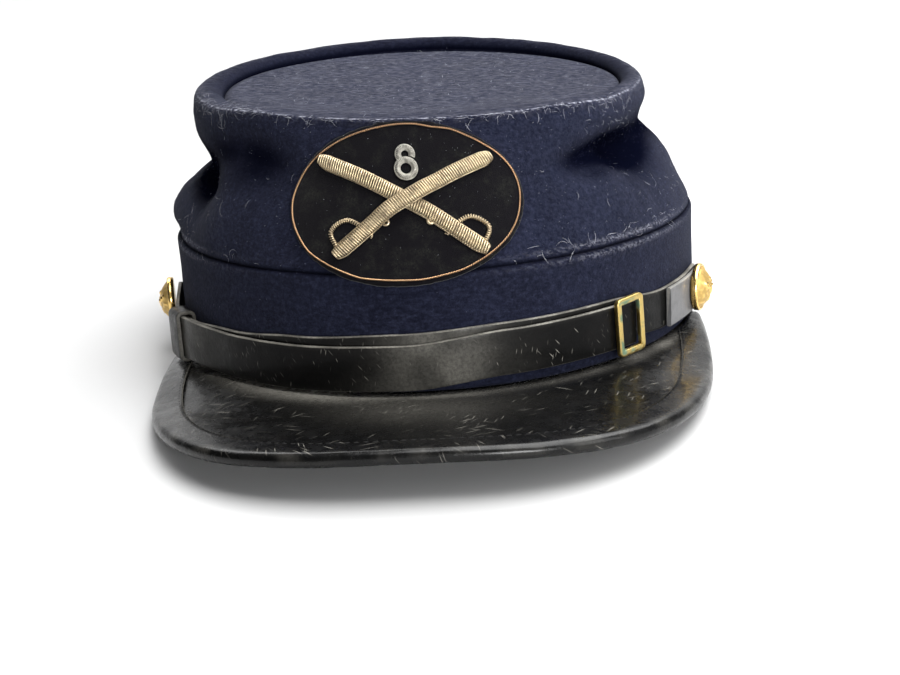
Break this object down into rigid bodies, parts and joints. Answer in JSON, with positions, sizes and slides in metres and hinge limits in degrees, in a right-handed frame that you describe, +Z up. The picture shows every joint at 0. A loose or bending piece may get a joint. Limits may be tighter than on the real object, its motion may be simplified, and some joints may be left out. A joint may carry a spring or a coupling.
{
  "type": "kepi cap",
  "caption": "Wool cloth kepi with a leather peak, a buckled chin strap, gilt side buttons and an oval embroidered badge of crossed sabres under a plain numeral",
  "frame": {"origin": "middle of the bounding box seen from above, at the height of the surface the cap rests on", "axes": "-Y towards the peak's front edge, +Y towards the back of the band, +X to the right of a viewer who faces the badge, +Z up"},
  "size_m": [0.1736, 0.2502, 0.0867],
  "materials": {
    "cloth": "matte, brushed wool",
    "peak_leather": "glossy, worn",
    "strap_leather": "semi-gloss, worn",
    "buckle_brass": "dull with green tarnish",
    "button_gilt": "polished, worn gilt",
    "velvet": "matte pile",
    "gold_wire": "twisted wire",
    "bullion": "coiled, slightly tarnished",
    "numeral_silver": "dull"
  },
  "bodies": {
    "root": {"crown_side": "cloth", "crown_tip": "cloth", "band": "cloth", "peak": "peak_leather", "peak_binding": "peak_leather", "strap_rear": "strap_leather", "strap_front": "strap_leather", "strap_tab": "strap_leather", "strap_keeper": "strap_leather", "strap_buckle": "buckle_brass", "button_left": "button_gilt", "button_right": "button_gilt", "badge_patch": "velvet", "badge_border": "gold_wire", "sabre_upper": "bullion", "sabre_lower": "bullion", "badge_numeral": "numeral_silver"}
  },
  "joints": []
}
